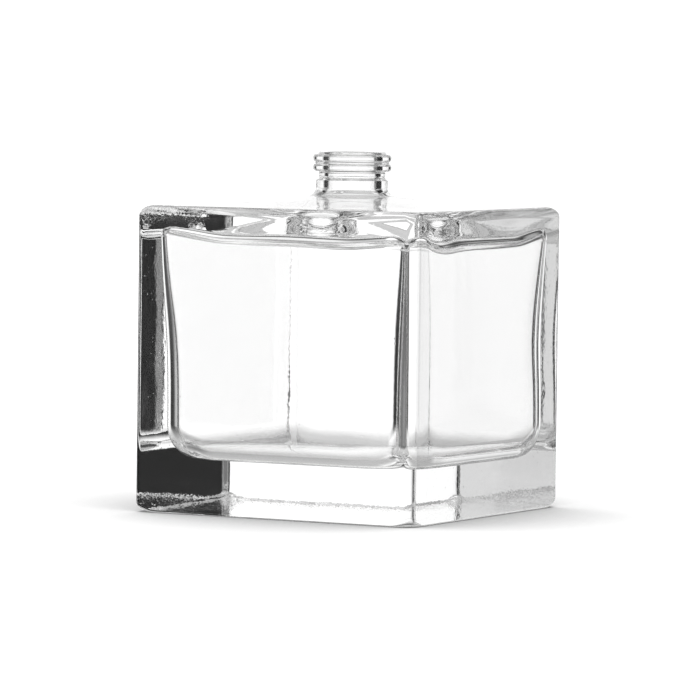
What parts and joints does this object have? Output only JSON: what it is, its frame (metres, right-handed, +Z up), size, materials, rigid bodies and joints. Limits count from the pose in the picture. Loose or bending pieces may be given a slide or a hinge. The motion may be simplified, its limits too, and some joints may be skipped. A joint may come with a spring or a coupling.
{
  "type": "aftershave bottle",
  "caption": "Empty square bottle of thick clear glass, a cube with a heavy base, rounded edges, a low sloping shoulder and a short crimp neck with an open bore.",
  "frame": {"origin": "centre of the base, on the surface that the bottle stands on", "axes": "+Z up along the neck's axis, +X and +Y square to two neighbouring side faces"},
  "size_m": [0.06, 0.06, 0.0683],
  "materials": {
    "clear_glass": "clear colourless container glass with a fire-polished, slightly wavy surface"
  },
  "bodies": {
    "root": {"glass_bottle": "clear_glass"}
  },
  "joints": []
}
